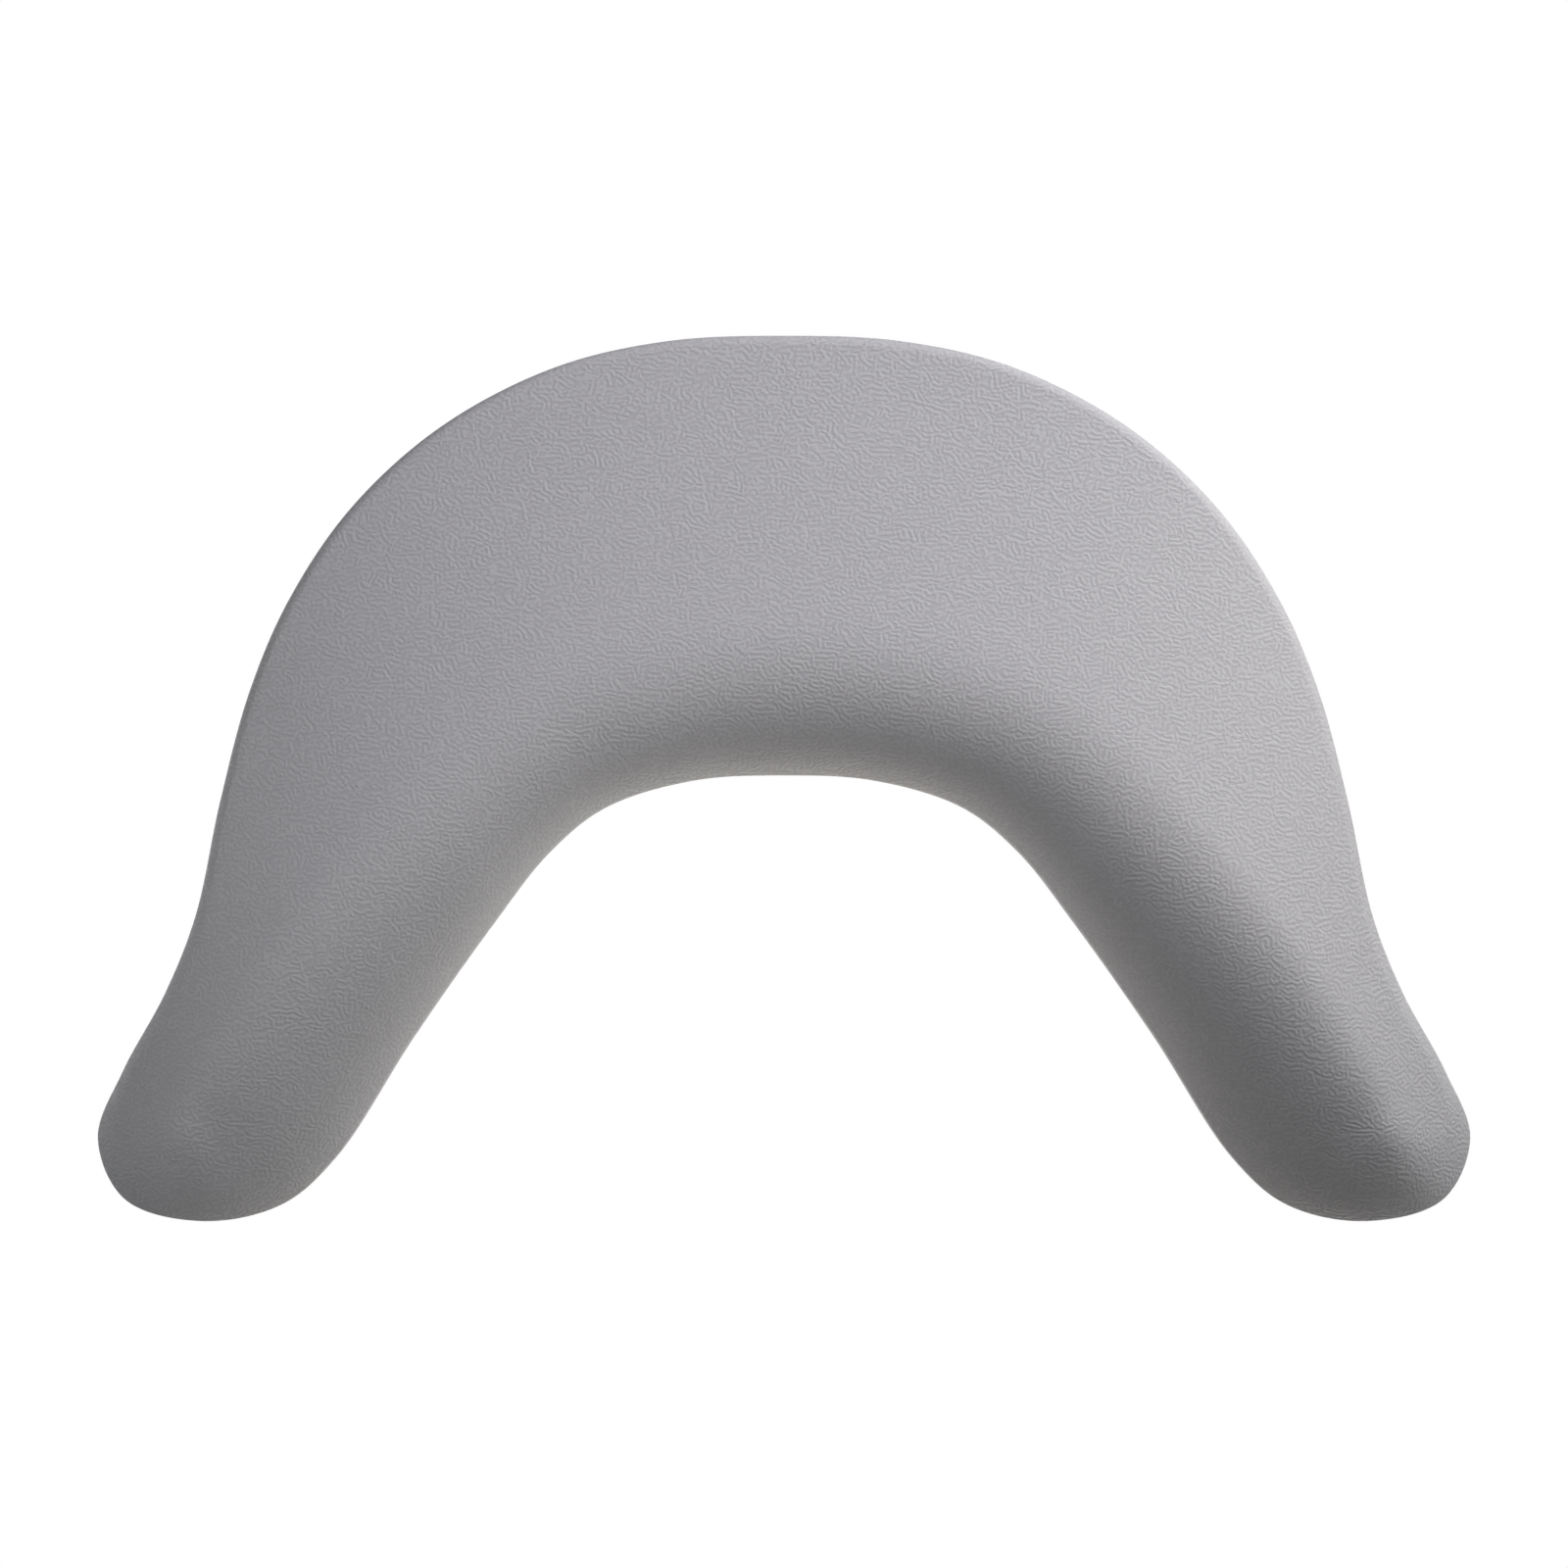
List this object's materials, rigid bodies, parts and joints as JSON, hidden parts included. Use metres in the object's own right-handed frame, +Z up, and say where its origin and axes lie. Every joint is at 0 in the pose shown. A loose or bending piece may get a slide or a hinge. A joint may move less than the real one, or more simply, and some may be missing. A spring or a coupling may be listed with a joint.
{
  "type": "chair headrest attachment",
  "caption": "Crescent headrest pad of self-skinned foam that goes round the neck, on a friction tilt hinge and a height slide, with a bolt-on track for a chair back.",
  "frame": {"origin": "middle of the track's back face, which is bolted to the chair, with the carriage at the middle of its travel", "axes": "+Z up, +Y towards the chair; the pad faces -Y; +X is to the right as seen from the front"},
  "size_m": [0.3296, 0.1029, 0.2115],
  "materials": {
    "grey_foam": "fine leather-grained skin, satin",
    "cover_plastic": "fine moulded texture",
    "black_nylon": "moulded",
    "coated_steel": "fine powder coat",
    "coated_casting": "fine powder coat",
    "anodised_aluminium": "satin anodised",
    "zinc_plated_steel": "bright zinc plate",
    "spring_steel": "oiled",
    "brass": "turned",
    "acetal": "moulded",
    "friction_composite": "pressed"
  },
  "bodies": {
    "track": {"track": "anodised_aluminium", "end_stop_top": "black_nylon", "end_stop_bottom": "black_nylon", "stop_screw_top": "zinc_plated_steel", "stop_screw_bottom": "zinc_plated_steel"},
    "carriage": {"carriage": "coated_casting", "glide_left": "acetal", "glide_right": "acetal", "friction_shoe": "friction_composite", "shoe_spring": "spring_steel", "axle_bush_left": "acetal", "axle_bush_right": "acetal", "friction_disc_left": "friction_composite", "friction_disc_right": "friction_composite"},
    "pad": {"foam_pad": "grey_foam", "carrier": "black_nylon", "rear_cover": "cover_plastic", "hinge_bracket_left": "coated_steel", "axle_washer_left": "zinc_plated_steel", "axle_cap_left": "black_nylon", "brass_insert_left_upper": "brass", "bracket_screw_left_upper": "zinc_plated_steel", "brass_insert_left_lower": "brass", "bracket_screw_left_lower": "zinc_plated_steel", "cover_screw_left_1": "zinc_plated_steel", "cover_screw_left_2": "zinc_plated_steel", "cover_screw_left_3": "zinc_plated_steel", "hinge_bracket_right": "coated_steel", "axle_washer_right": "zinc_plated_steel", "axle_cap_right": "black_nylon", "brass_insert_right_upper": "brass", "bracket_screw_right_upper": "zinc_plated_steel", "brass_insert_right_lower": "brass", "bracket_screw_right_lower": "zinc_plated_steel", "cover_screw_right_1": "zinc_plated_steel", "cover_screw_right_2": "zinc_plated_steel", "cover_screw_right_3": "zinc_plated_steel", "axle_bolt": "zinc_plated_steel", "axle_nut": "zinc_plated_steel", "disc_spring_1": "spring_steel", "disc_spring_2": "spring_steel"}
  },
  "joints": [
    {"name": "height_slide", "type": "slide", "parent": "track", "child": "carriage", "axis": [0, 0, 1], "range_m": [-0.018, 0.018]},
    {"name": "head_tilt", "type": "hinge", "parent": "carriage", "child": "pad", "pos_m": [0, -0.032, 0], "axis": [1, 0, 0], "range_deg": [-25, 14]}
  ]
}
